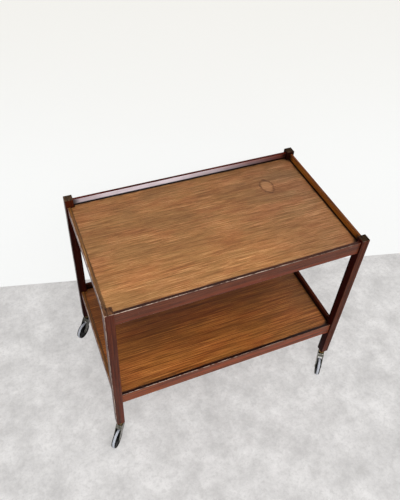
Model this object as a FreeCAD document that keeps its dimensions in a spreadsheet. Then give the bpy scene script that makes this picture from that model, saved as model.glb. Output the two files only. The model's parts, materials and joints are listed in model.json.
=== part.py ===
"""Two-tier tea trolley on swivel casters, as a parametric document.

The trolley stands on the plane z = 0 with its origin under the middle of the frame. +X runs along the long
side towards the closed end, -Y is the front and +Z is up. The end at -X has a low rail, flush with the trays.
"""
import FreeCAD, Part
import os
import re

import Sketcher

# Driving dimensions in millimetres. Everything else is worked out from these.
SIZES = {
    # the frame over its posts, and the floor to the post tops
    "overall_length": 762,
    "overall_width": 457,
    "overall_height": 656,
    # posts, which are also the legs
    "post_side": 25.4,
    "post_edge_round": 1.5,
    "post_top_chamfer": 1.2,
    "foot_chamfer": 1.3,
    "foot_height": 95,
    # rails of both tiers
    "rail_height": 45,
    "rail_thickness": 9.5,
    "rail_setback": 5.5,
    "rail_edge_round": 2,
    "rail_drop": 9,
    "lower_tier_rise": 115,
    # tray panels, and the cleats that carry them
    "tray_depth": 18,
    "panel_thickness": 9,
    "panel_gap": 2.2,
    "open_end_gap": 0.3,
    "panel_edge_round": 0.8,
    "cleat_width": 14,
    "cleat_height": 13,
    # dowels between rails and posts
    "dowel_diameter": 6,
    "dowel_in_rail": 20,
    "dowel_in_post": 8,
    "dowel_end_gap": 0.5,
    # countersunk screws through the cleats into the panels
    "screw_diameter": 3.5,
    "screw_head_diameter": 7,
    "screw_head_height": 2.2,
    "screw_bite": 5,
    # clearance around glued and pressed pieces, and around turning ones
    "fit_gap": 0.05,
    "running_gap": 0.06,
    # caster socket: a collar under the foot with a sleeve inside the leg
    "collar_diameter": 20,
    "collar_waist_diameter": 16,
    "collar_height": 17,
    "collar_lip": 4,
    "collar_round": 0.8,
    "sleeve_diameter": 11.5,
    "sleeve_length": 36,
    "sleeve_end_gap": 1.5,
    # caster stem and thrust washer
    "stem_diameter": 8,
    "stem_tip_chamfer": 1,
    "stem_top_gap": 4,
    "stem_head_diameter": 13,
    "stem_head_height": 2.4,
    "washer_diameter": 16,
    "washer_thickness": 1.6,
    "swivel_gap": 0.3,
    # fork
    "caster_trail": 31,
    "crown_radius": 10,
    "crown_thickness": 9,
    "crown_depth": 15,
    "crown_round": 3,
    "blade_thickness": 2.2,
    "blade_edge_round": 0.9,
    "axle_boss_radius": 6.2,
    "wheel_side_gap": 1.5,
    # axle
    "axle_diameter": 6,
    "axle_head_diameter": 10,
    "axle_head_height": 1.6,
    # wheel: a flanged hub and the tyre between its flanges
    "wheel_diameter": 60,
    "wheel_width": 13.5,
    "hub_end_gap": 0.5,
    "hub_boss_diameter": 17,
    "hub_dish": 1.4,
    "hub_rim_width": 5,
    "hub_edge_round": 0.9,
    "flange_inset": 1.6,
    "tyre_width": 7.6,
    "tyre_depth": 8,
    "tyre_edge_round": 1.6,
    # how far a cutting tool reaches past the face that it cuts
    "overrun": 2,
}

# Where along a rail's height its two dowels sit, and where along a cleat its screws sit.
DOWEL_SHARES = (0.25, 0.75)
LONG_SCREW_SHARES = (0.1, 0.37, 0.63, 0.9)
SHORT_SCREW_SHARES = (0.25, 0.75)
# How much of the axle boss the round at the fork's tip takes.
BOSS_ROUND_SHARE = 0.9

# Corners: name, side along X, side along Y, and the angle about Z that its caster trails at.
CORNERS = (
    ("front_left", -1, -1, -130),
    ("front_right", 1, -1, -126),
    ("back_left", -1, 1, -138),
    ("back_right", 1, 1, 48),
)

# Sizes that follow from the driving dimensions, as expressions of the sheet.
POST_X = "(overall_length / 2 - post_side / 2)"
POST_Y = "(overall_width / 2 - post_side / 2)"
JOINT_X = "(overall_length / 2 - post_side)"
JOINT_Y = "(overall_width / 2 - post_side)"
RAIL_X = "(overall_length / 2 - rail_setback - rail_thickness / 2)"
RAIL_Y = "(overall_width / 2 - rail_setback - rail_thickness / 2)"
INNER_X = "(overall_length / 2 - rail_setback - rail_thickness)"
INNER_Y = "(overall_width / 2 - rail_setback - rail_thickness)"
LOW_RAIL_HEIGHT = "(rail_height - tray_depth)"
TOP_TIER_BASE = "(overall_height - rail_drop - rail_height)"
LOWER_TIER_BASE = "(foot_height + lower_tier_rise)"
TIERS = (("top", TOP_TIER_BASE), ("lower", LOWER_TIER_BASE))
PANEL_UNDER = "(rail_height - tray_depth - panel_thickness)"
CLEAT_UNDER = f"({PANEL_UNDER} - cleat_height)"
SCREW_LENGTH = "(cleat_height + screw_bite)"
CROWN_TOP = "(foot_height - collar_height - swivel_gap - washer_thickness)"
CROWN_UNDER = f"({CROWN_TOP} - crown_thickness)"
AXLE_HEIGHT = "(wheel_diameter / 2)"
SLOT_HALF = "(wheel_width / 2 + wheel_side_gap)"
FORK_HALF = f"({SLOT_HALF} + blade_thickness)"
STEM_BORE = "(stem_diameter / 2 + running_gap)"
SHORT_CLEAT_HALF = f"({INNER_Y} - cleat_width)"
AXLE_OFFSET = ("caster_trail", "0", AXLE_HEIGHT)

# Rails of a tier: name, axis that it runs along, side that it is on, and its height.
RAILS = (
    ("front_rail", "X", -1, "rail_height"),
    ("back_rail", "X", 1, "rail_height"),
    ("left_end_rail", "Y", -1, LOW_RAIL_HEIGHT),
    ("right_end_rail", "Y", 1, "rail_height"),
)

# Cleats of a tier: name, axis that it runs along, and side that it is on.
CLEATS = (
    ("front_cleat", "X", -1),
    ("back_cleat", "X", 1),
    ("left_cleat", "Y", -1),
    ("right_cleat", "Y", 1),
)

# Directions and turns, and how closely an edge must match a test to be picked.
LENGTHWISE = FreeCAD.Vector(1, 0, 0)
CROSSWISE = FreeCAD.Vector(0, 1, 0)
UPRIGHT = FreeCAD.Vector(0, 0, 1)
ALONG = {
    "X": FreeCAD.Rotation(UPRIGHT, LENGTHWISE),
    "Y": FreeCAD.Rotation(UPRIGHT, CROSSWISE),
    "Z": FreeCAD.Rotation(),
}
QUARTER_TURN = FreeCAD.Rotation(UPRIGHT, 90)
EDGE_TOLERANCE = 0.001

doc = FreeCAD.newDocument("tea_trolley")
nodes = {}


# The sheet of driving dimensions
sheet = doc.addObject("Spreadsheet::Sheet", "dims")
for row, (alias, number) in enumerate(SIZES.items(), start=1):
    sheet.set(f"A{row}", str(number))
    sheet.setAlias(f"A{row}", alias)
doc.recompute()


# Expressions, places and groups
def bound(text):
    """An expression with the sheet's name before each driving dimension."""
    return re.sub(r"[a-z_]+", lambda word: f"dims.{word[0]}" if word[0] in SIZES else word[0], text)


def value(text):
    """What an expression comes to, for first sketch places and for tests."""
    return float(sheet.evalExpression(bound(text)))


def bind(thing, **sizes):
    for name, text in sizes.items():
        thing.setExpression(name, bound(text))


def place(thing, x, y, z, turn=None):
    """Binds a thing's position, after turning it if asked."""
    if turn is not None:
        thing.Placement = FreeCAD.Placement(FreeCAD.Vector(), turn)
    for axis, text in zip("xyz", (x, y, z)):
        thing.setExpression(f"Placement.Base.{axis}", bound(text))


def rod(name, radius, length, x, y, z, axis):
    """A cylinder that starts at a point and runs along an axis."""
    thing = doc.addObject("Part::Cylinder", name)
    bind(thing, Radius=radius, Height=length)
    place(thing, x, y, z, ALONG[axis])
    return thing


def group(name, members):
    thing = doc.addObject("Part::Compound", name)
    thing.Links = members
    return thing


def cut(label, base, tools):
    """A piece with all its holes taken out, kept under its own label."""
    thing = doc.addObject("Part::Cut", label)
    thing.Base = base
    thing.Tool = group(f"{label}_holes", tools)
    return keep(label, thing)


def keep(label, thing):
    thing.Label = label
    nodes[label] = thing
    return thing


# Sketched features
def new_sketch(body, name, role, offset):
    sketch = body.newObject("Sketcher::SketchObject", name)
    plane = next(item for item in body.Origin.OriginFeatures if item.Role == role)
    sketch.AttachmentSupport = [(plane, "")]
    sketch.MapMode = "FlatFace"
    for axis, text in zip("xyz", offset):
        sketch.setExpression(f"AttachmentOffset.Base.{axis}", bound(text))
    return sketch


def fix_point(sketch, geometry, position, u, v):
    """Ties a point of the sketch to two expressions, measured from the sketch's origin."""
    for kind, across, text in (("DistanceX", -2, u), ("DistanceY", -1, v)):
        if text == "0":
            sketch.addConstraint(Sketcher.Constraint("PointOnObject", geometry, position, across))
        else:
            tie = Sketcher.Constraint(kind, -1, 1, geometry, position, value(text))
            index = sketch.addConstraint(tie)
            sketch.setExpression(f"Constraints[{index}]", bound(text))


def outline(body, name, role, points, offset=("0", "0", "0")):
    """A closed outline of straight edges through points given as pairs of expressions."""
    sketch = new_sketch(body, name, role, offset)
    corners = [FreeCAD.Vector(value(u), value(v), 0) for u, v in points]
    for start, end in zip(corners, corners[1:] + corners[:1]):
        sketch.addGeometry(Part.LineSegment(start, end))
    count = len(points)
    for index in range(count):
        sketch.addConstraint(Sketcher.Constraint("Coincident", index, 2, (index + 1) % count, 1))
    for index, (u, v) in enumerate(points):
        fix_point(sketch, index, 1, u, v)
    return sketch


def circle(body, name, role, radius, u, v):
    sketch = new_sketch(body, name, role, ("0", "0", "0"))
    centre = FreeCAD.Vector(value(u), value(v), 0)
    ring = sketch.addGeometry(Part.Circle(centre, UPRIGHT, value(radius)))
    fix_point(sketch, ring, 3, u, v)
    index = sketch.addConstraint(Sketcher.Constraint("Radius", ring, value(radius)))
    sketch.setExpression(f"Constraints[{index}]", bound(radius))
    return sketch


def block_outline(body, name, role, half_u, low_v, high_v):
    corners = [(f"-{half_u}", low_v), (half_u, low_v), (half_u, high_v), (f"-{half_u}", high_v)]
    return outline(body, name, role, corners)


def pad(body, sketch, length, symmetric=False):
    feature = body.newObject("PartDesign::Pad", f"{body.Name}_pad")
    feature.Profile = sketch
    bind(feature, Length=length)
    if symmetric:
        feature.SideType = "Symmetric"
    doc.recompute()
    return feature


def pocket(body, sketch, width=None):
    """Cuts a sketch's outline both ways from its plane, right through or as wide as given, and tests that it
    took material."""
    before = body.Shape.Volume
    feature = body.newObject("PartDesign::Pocket", f"{sketch.Name}_pocket")
    feature.Profile = sketch
    feature.SideType = "Symmetric"
    if width:
        bind(feature, Length=width)
    else:
        feature.Type = "ThroughAll"
    doc.recompute()
    if not body.Shape.Volume < before:
        raise RuntimeError(f"{feature.Name} removed nothing")
    return feature


def turned(label, role, axis, points, offset=("0", "0", "0")):
    """A body of revolution about one of its sketch's own axes."""
    body = doc.addObject("PartDesign::Body", label)
    sketch = outline(body, f"{label}_profile", role, points, offset)
    feature = body.newObject("PartDesign::Revolution", f"{label}_turn")
    feature.Profile = sketch
    feature.ReferenceAxis = (sketch, [axis])
    feature.Angle = 360
    doc.recompute()
    return body


def dress(kind, body, test, **sizes):
    """Rounds or chamfers those edges of a body that pass a test, with its size bound to the sheet."""
    base = body.Tip
    picked = [f"Edge{index}" for index, edge in enumerate(base.Shape.Edges, start=1) if test(edge)]
    if not picked:
        raise RuntimeError(f"{body.Name} has no edge to dress")
    feature = body.newObject(f"PartDesign::{kind}", f"{body.Name}_{kind.lower()}")
    feature.Base = (base, picked)
    bind(feature, **sizes)
    doc.recompute()
    return feature


def runs_along(edge, direction):
    """True for a straight edge along a direction."""
    straight = edge.Curve.TypeId == "Part::GeomLine"
    return straight and abs(edge.Curve.Direction.dot(direction)) > 1 - EDGE_TOLERANCE


def lies_at(edge, axis, level):
    """True for an edge that lies wholly at one level along an axis."""
    box = edge.BoundBox
    ends = (getattr(box, f"{axis}Min"), getattr(box, f"{axis}Max"))
    return all(abs(end - level) < EDGE_TOLERANCE for end in ends)


def has_radius(edge, radius):
    """True for a round edge of one radius."""
    round_edge = edge.Curve.TypeId == "Part::GeomCircle"
    return round_edge and abs(edge.Curve.Radius - radius) < EDGE_TOLERANCE


# Dowels, with one hole tool for each that both its rail and its post are drilled with
def drill_dowels(tier, base, rail_name, axis, side, height):
    """Makes a rail's four dowels, and gives its hole tools with the corner that each one enters."""
    joint = JOINT_X if axis == "X" else JOINT_Y
    dowels, holes = [], []
    for end in (-1, 1):
        start = f"{joint} - dowel_in_rail" if end > 0 else f"-{joint} - dowel_in_post"
        corner = (end, side) if axis == "X" else (side, end)
        for share in DOWEL_SHARES:
            name = f"{tier}_{rail_name}_dowel_{len(dowels) + 1}"
            level = f"{base} + {share} * {height}"
            across = f"{side} * {RAIL_Y}" if axis == "X" else f"{side} * {RAIL_X}"
            spot = (start, across, level) if axis == "X" else (across, start, level)
            first = f"{start} - dowel_end_gap"
            hole_spot = (first, across, level) if axis == "X" else (across, first, level)
            dowels.append(rod(name, "dowel_diameter / 2", "dowel_in_rail + dowel_in_post", *spot, axis))
            hole_length = "dowel_in_rail + dowel_in_post + 2 * dowel_end_gap"
            hole = rod(f"{name}_hole", "dowel_diameter / 2 + fit_gap", hole_length, *hole_spot, axis)
            holes.append((corner, hole))
    return dowels, holes


# Rails
def make_rail(label, base, axis, side, height, holes):
    body = doc.addObject("PartDesign::Body", f"{label}_blank")
    section = block_outline(body, f"{label}_section", "YZ_Plane", "(rail_thickness / 2)", "0", height)
    pad(body, section, f"2 * {JOINT_X}" if axis == "X" else f"2 * {JOINT_Y}", symmetric=True)
    inner_face, top = value(f"{side} * rail_thickness / 2"), value(height)

    def is_eased(edge):
        """A low rail's arris beside the panel stays square, and the panel's surface runs up to it."""
        beside_panel = lies_at(edge, "Y", inner_face) and lies_at(edge, "Z", top)
        return runs_along(edge, LENGTHWISE) and not (height == LOW_RAIL_HEIGHT and beside_panel)

    dress("Fillet", body, is_eased, Radius="rail_edge_round")
    if axis == "X":
        place(body, "0", f"{side} * {RAIL_Y}", base)
    else:
        place(body, f"{side} * {RAIL_X}", "0", base, QUARTER_TURN)
    cut(label, body, holes)


# Tray panels, notched at the corners to clear the posts
def make_panel(label, base, holes):
    body = doc.addObject("PartDesign::Body", f"{label}_blank")
    edge_x, edge_y = f"({INNER_X} - panel_gap)", f"({INNER_Y} - panel_gap)"
    notch_x, notch_y = f"({JOINT_X} - panel_gap)", f"({JOINT_Y} - panel_gap)"
    open_x = f"({INNER_X} - open_end_gap)"
    closed_end = ((notch_x, edge_y), (notch_x, notch_y), (edge_x, notch_y))
    open_end = ((notch_x, edge_y), (notch_x, notch_y), (open_x, notch_y))
    points = [(u, f"-{v}") for u, v in closed_end]
    points += [(u, v) for u, v in reversed(closed_end)]
    points += [(f"-{u}", v) for u, v in open_end]
    points += [(f"-{u}", f"-{v}") for u, v in reversed(open_end)]
    pad(body, outline(body, f"{label}_outline", "XY_Plane", points), "panel_thickness")
    top = value("panel_thickness")
    dress("Fillet", body, lambda edge: lies_at(edge, "Z", top), Radius="panel_edge_round")
    place(body, "0", "0", f"{base} + {PANEL_UNDER}")
    cut(label, body, holes)


# Cleats under a panel's edges, fixed to the rails' inner faces, and the screws that hold the panel to them
def make_cleat(label, base, axis, side, holes):
    bar = doc.addObject("Part::Box", f"{label}_blank")
    if axis == "X":
        bind(bar, Length=f"2 * {JOINT_X}", Width="cleat_width", Height="cleat_height")
        near = f"-{INNER_Y}" if side < 0 else f"{INNER_Y} - cleat_width"
        place(bar, f"-{JOINT_X}", near, f"{base} + {CLEAT_UNDER}")
    else:
        bind(bar, Length="cleat_width", Width=f"2 * {SHORT_CLEAT_HALF}", Height="cleat_height")
        near = f"-{INNER_X}" if side < 0 else f"{INNER_X} - cleat_width"
        place(bar, near, f"-{SHORT_CLEAT_HALF}", f"{base} + {CLEAT_UNDER}")
    cut(label, bar, holes)


def cone(name, foot_radius, top_radius, height, x, y, z):
    thing = doc.addObject("Part::Cone", name)
    bind(thing, Radius1=foot_radius, Radius2=top_radius, Height=height)
    place(thing, x, y, z)
    return thing


def screw_spots(axis, side):
    """Where a cleat's screws stand, as pairs of expressions."""
    if axis == "X":
        across = f"{side} * ({INNER_Y} - cleat_width / 2)"
        return [(f"(2 * {share} - 1) * {JOINT_X}", across) for share in LONG_SCREW_SHARES]
    across = f"{side} * ({INNER_X} - cleat_width / 2)"
    return [(across, f"(2 * {share} - 1) * {SHORT_CLEAT_HALF}") for share in SHORT_SCREW_SHARES]


def drive_screws(cleat_label, base, axis, side):
    """Makes a cleat's screws, and gives the hole tools for their shanks and for their heads."""
    screws, shank_holes, head_holes = [], [], []
    under = f"{base} + {CLEAT_UNDER}"
    head, shank = "screw_head_diameter / 2", "screw_diameter / 2"
    for number, (x, y) in enumerate(screw_spots(axis, side), start=1):
        name = f"{cleat_label}_screw_{number}"
        screw = doc.addObject("Part::Fuse", name)
        screw.Base = cone(f"{name}_head", head, shank, "screw_head_height", x, y, under)
        screw.Tool = rod(f"{name}_shank", shank, SCREW_LENGTH, x, y, under, "Z")
        screws.append(screw)
        shank_hole = (f"{name}_shank_hole", f"{shank} + fit_gap", f"{SCREW_LENGTH} + overrun + fit_gap")
        shank_holes.append(rod(*shank_hole, x, y, f"{under} - overrun", "Z"))
        head_hole = (f"{name}_head_hole", f"{head} + fit_gap", f"{shank} + fit_gap", "screw_head_height")
        head_holes.append(cone(*head_hole, x, y, under))
    return screws, shank_holes, head_holes


# Posts, drilled for the dowels of both tiers and for the caster's sleeve
def make_post(corner_name, side_x, side_y, holes):
    label = f"{corner_name}_post"
    body = doc.addObject("PartDesign::Body", f"{label}_blank")
    half, length = "(post_side / 2)", "overall_height - foot_height"
    square = block_outline(body, f"{label}_square", "XY_Plane", half, f"-{half}", half)
    pad(body, square, length)
    dress("Fillet", body, lambda edge: runs_along(edge, UPRIGHT), Radius="post_edge_round")
    top = value(length)
    dress("Chamfer", body, lambda edge: lies_at(edge, "Z", top), Size="post_top_chamfer")
    dress("Chamfer", body, lambda edge: lies_at(edge, "Z", 0), Size="foot_chamfer")
    x, y = f"{side_x} * {POST_X}", f"{side_y} * {POST_Y}"
    place(body, x, y, "foot_height")
    bore = ("sleeve_diameter / 2 + fit_gap", "sleeve_length + sleeve_end_gap + overrun")
    sleeve_bore = rod(f"{label}_sleeve_bore", *bore, x, y, "foot_height - overrun", "Z")
    cut(label, body, holes + [sleeve_bore])


# Caster pieces, each drawn about its swivel axis with the wheel trailing along +X
def socket_body(label):
    """A turned collar under the foot, with a lip, a waist and a sleeve inside the leg."""
    lip, waist, sleeve = "collar_diameter / 2", "collar_waist_diameter / 2", "sleeve_diameter / 2"
    under, tip = "foot_height - collar_height", "foot_height + sleeve_length"
    points = [
        (STEM_BORE, under), (waist, under), (waist, "foot_height - 2 * collar_lip"),
        (lip, "foot_height - collar_lip"), (lip, "foot_height"), (sleeve, "foot_height"),
        (sleeve, tip), (STEM_BORE, tip),
    ]
    body = turned(label, "XZ_Plane", "V_Axis", points)
    rounded = (value(lip), value(waist))
    dress("Fillet", body, lambda edge: any(has_radius(edge, size) for size in rounded), Radius="collar_round")
    return body


def washer_body(label):
    low, high, rim = CROWN_TOP, f"{CROWN_TOP} + washer_thickness", "washer_diameter / 2"
    return turned(label, "XZ_Plane", "V_Axis", [(STEM_BORE, low), (rim, low), (rim, high), (STEM_BORE, high)])


def stem_body(label):
    """A pin riveted under the crown, with a chamfered tip inside the sleeve."""
    side, head = "stem_diameter / 2", "stem_head_diameter / 2"
    under, tip = f"{CROWN_UNDER} - stem_head_height", "foot_height + sleeve_length - stem_top_gap"
    points = [
        ("0", under), (head, under), (head, CROWN_UNDER), (side, CROWN_UNDER),
        (side, f"{tip} - stem_tip_chamfer"), (f"{side} - stem_tip_chamfer", tip), ("0", tip),
    ]
    return turned(label, "XZ_Plane", "V_Axis", points)


def fork_body(label):
    """A crown and two blades that sweep back to the axle, cut from one padded side view. The wheel's well
    keeps the crown clear of the wheel where the two come close."""
    body = doc.addObject("PartDesign::Body", label)
    low_crown = f"{CROWN_TOP} - crown_depth"
    boss_back, boss_front = "caster_trail + axle_boss_radius", "caster_trail - axle_boss_radius"
    boss_top, boss_under = f"{AXLE_HEIGHT} + axle_boss_radius", f"{AXLE_HEIGHT} - axle_boss_radius"
    points = [
        ("-crown_radius", CROWN_TOP), ("-crown_radius", low_crown), (boss_front, boss_under),
        (boss_back, boss_under), (boss_back, boss_top), ("crown_radius", CROWN_TOP),
    ]
    pad(body, outline(body, f"{label}_side", "XZ_Plane", points), f"2 * {FORK_HALF}", symmetric=True)
    level = value(low_crown) - EDGE_TOLERANCE
    dress("Fillet", body, lambda edge: runs_along(edge, CROSSWISE) and edge.BoundBox.ZMax < level,
          Radius=f"{BOSS_ROUND_SHARE} * axle_boss_radius")
    dress("Fillet", body, lambda edge: runs_along(edge, CROSSWISE) and edge.BoundBox.ZMax > level,
          Radius="crown_round")
    side = value(FORK_HALF)
    dress("Fillet", body, lambda edge: lies_at(edge, "Y", side) or lies_at(edge, "Y", -side),
          Radius="blade_edge_round")
    wheel_well = ("wheel_diameter / 2 + wheel_side_gap", "caster_trail", AXLE_HEIGHT)
    pocket(body, circle(body, f"{label}_wheel_well", "XZ_Plane", *wheel_well), f"2 * {SLOT_HALF}")
    slot = block_outline(body, f"{label}_slot", "YZ_Plane", SLOT_HALF, "-overrun", CROWN_UNDER)
    pocket(body, slot)
    axle_hole = ("axle_diameter / 2 + fit_gap", "caster_trail", AXLE_HEIGHT)
    pocket(body, circle(body, f"{label}_axle_hole", "XZ_Plane", *axle_hole))
    stem_hole = ("stem_diameter / 2 + fit_gap", "0", "0")
    pocket(body, circle(body, f"{label}_stem_hole", "XY_Plane", *stem_hole))
    return body


def axle_body(label):
    """A pin through both blades, with a rivet head outside each."""
    side, head = "axle_diameter / 2", "axle_head_diameter / 2"
    end = f"({FORK_HALF} + axle_head_height)"
    points = [
        ("0", f"-{end}"), (head, f"-{end}"), (head, f"-{FORK_HALF}"), (side, f"-{FORK_HALF}"),
        (side, FORK_HALF), (head, FORK_HALF), (head, end), ("0", end),
    ]
    return turned(label, "XY_Plane", "V_Axis", points, AXLE_OFFSET)


def hub_body(label):
    """A wheel with a boss, a dished web, and two flanges with the tyre's groove between them."""
    bore, boss = "axle_diameter / 2 + running_gap", "hub_boss_diameter / 2"
    boss_end, web, face = f"({SLOT_HALF} - hub_end_gap)", "(wheel_width / 2 - hub_dish)", "(wheel_width / 2)"
    flange, groove = "wheel_diameter / 2 - flange_inset", "wheel_diameter / 2 - tyre_depth"
    rim, wall = f"{flange} - hub_rim_width", "(tyre_width / 2 + fit_gap)"
    half = [
        (bore, boss_end), (boss, boss_end), (boss, web), (rim, web), (rim, face), (flange, face),
        (flange, wall), (groove, wall),
    ]
    points = [(u, f"-{v}") for u, v in half] + list(reversed(half))
    body = turned(label, "XY_Plane", "V_Axis", points, AXLE_OFFSET)
    rim_radius = value(flange)
    dress("Fillet", body, lambda edge: has_radius(edge, rim_radius), Radius="hub_edge_round")
    return body


def tyre_body(label):
    inner, outer, side = "wheel_diameter / 2 - tyre_depth + fit_gap", "wheel_diameter / 2", "(tyre_width / 2)"
    points = [(inner, f"-{side}"), (outer, f"-{side}"), (outer, side), (inner, side)]
    body = turned(label, "XY_Plane", "V_Axis", points, AXLE_OFFSET)
    tread = value(outer)
    dress("Fillet", body, lambda edge: has_radius(edge, tread), Radius="tyre_edge_round")
    return body


CASTER_PIECES = (
    ("caster_socket", socket_body),
    ("caster_washer", washer_body),
    ("caster_stem", stem_body),
    ("caster_fork", fork_body),
    ("caster_axle", axle_body),
    ("wheel_hub", hub_body),
    ("wheel_tyre", tyre_body),
)


def make_caster(corner_name, side_x, side_y, swivel):
    for piece_name, make_body in CASTER_PIECES:
        body = make_body(f"{corner_name}_{piece_name}")
        place(body, f"{side_x} * {POST_X}", f"{side_y} * {POST_Y}", "0", FreeCAD.Rotation(UPRIGHT, swivel))
        keep(f"{corner_name}_{piece_name}", body)


# The two tiers
post_holes = {(side_x, side_y): [] for _, side_x, side_y, _ in CORNERS}
for tier, base in TIERS:
    tier_dowels, tier_screws, panel_holes = [], [], []
    for rail_name, axis, side, height in RAILS:
        dowels, holes = drill_dowels(tier, base, rail_name, axis, side, height)
        tier_dowels += dowels
        for corner, hole in holes:
            post_holes[corner].append(hole)
        make_rail(f"{tier}_{rail_name}", base, axis, side, height, [hole for _, hole in holes])
    for cleat_name, axis, side in CLEATS:
        label = f"{tier}_{cleat_name}"
        screws, shank_holes, head_holes = drive_screws(label, base, axis, side)
        tier_screws += screws
        panel_holes += shank_holes
        make_cleat(label, base, axis, side, shank_holes + head_holes)
    make_panel(f"{tier}_tray_panel", base, panel_holes)
    keep(f"{tier}_rail_dowels", group(f"{tier}_rail_dowels", tier_dowels))
    keep(f"{tier}_cleat_screws", group(f"{tier}_cleat_screws", tier_screws))

# The posts and casters
for corner_name, side_x, side_y, swivel in CORNERS:
    make_post(corner_name, side_x, side_y, post_holes[side_x, side_y])
    make_caster(corner_name, side_x, side_y, swivel)

# Tests, then one file for each piece
doc.recompute()
for thing in doc.Objects:
    if "Invalid" in thing.State or "Error" in thing.State:
        raise RuntimeError(f"{thing.Name} failed: {thing.State}")
for label, thing in nodes.items():
    if thing.Shape.isNull() or not thing.Shape.isValid() or not thing.Shape.Solids:
        raise RuntimeError(f"{label} has no valid solid")
os.makedirs("parts", exist_ok=True)
for label, thing in nodes.items():
    thing.Shape.exportStep(f"parts/{label}.step")
print(len(nodes), "pieces written")
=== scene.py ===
"""Finishes of a two-tier tea trolley on swivel casters: lacquered frame, veneered trays, brass and plated casters.

The frame gives every piece at its place, in metres: +X runs along the long side, -Y is the front, +Z is up.
"""
import json
import math

import bpy
import numpy as np
from mathutils import Matrix, Vector


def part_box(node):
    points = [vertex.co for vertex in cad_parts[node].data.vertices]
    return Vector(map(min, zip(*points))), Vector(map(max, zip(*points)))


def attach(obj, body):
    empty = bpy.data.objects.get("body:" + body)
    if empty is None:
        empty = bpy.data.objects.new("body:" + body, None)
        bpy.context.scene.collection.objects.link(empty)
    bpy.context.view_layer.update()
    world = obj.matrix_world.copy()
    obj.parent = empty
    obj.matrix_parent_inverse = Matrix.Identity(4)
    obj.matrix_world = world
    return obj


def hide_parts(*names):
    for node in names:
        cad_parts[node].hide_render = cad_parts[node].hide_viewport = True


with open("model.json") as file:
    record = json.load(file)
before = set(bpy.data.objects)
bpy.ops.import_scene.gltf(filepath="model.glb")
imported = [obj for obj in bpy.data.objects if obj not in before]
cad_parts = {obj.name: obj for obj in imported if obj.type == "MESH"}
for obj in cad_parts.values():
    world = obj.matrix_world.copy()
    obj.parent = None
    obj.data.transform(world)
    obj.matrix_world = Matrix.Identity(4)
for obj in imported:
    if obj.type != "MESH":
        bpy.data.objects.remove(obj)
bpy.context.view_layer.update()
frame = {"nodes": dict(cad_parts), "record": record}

MM = 0.001
CORNERS = ("front_left", "front_right", "back_left", "back_right")
TIERS = ("top", "lower")
UP = Vector((0, 0, 1))

# Camera at the photograph's angle: where it stands, a point on its axis, its roll and its lens.
EYE = Vector((-0.50812, -0.99754, 1.7173))
AIM = Vector((0.09928, 0.30054, 0.32228))
ROLL = math.radians(4.037)
LENS = 38.889
SHIFT = (0.00055, -0.0527)

# Light: an even surround and one large soft panel, which stands in this direction from the point that it lights.
SURROUND = 0.38
PANEL_AIM = Vector((0, 0, 0.4))
PANEL_DIRECTION = Vector((-0.10, -0.55, 0.82)).normalized()
PANEL_DISTANCE = 2.2
PANEL_SIZE = (1.7, 1.2)
PANEL_POWER = 33


def paint(red, green, blue):
    """A colour given in screen values from 0 to 255, as the linear colour that a shader takes."""
    screen = np.array([red, green, blue]) / 255
    low, high = screen / 12.92, ((screen + 0.055) / 1.055) ** 2.4
    return (*np.where(screen <= 0.04045, low, high).tolist(), 1.0)


def as_colour(tone):
    """A tone, given as three shares, as the colour that a shader multiplies by."""
    return (*tone, 1.0)


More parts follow.
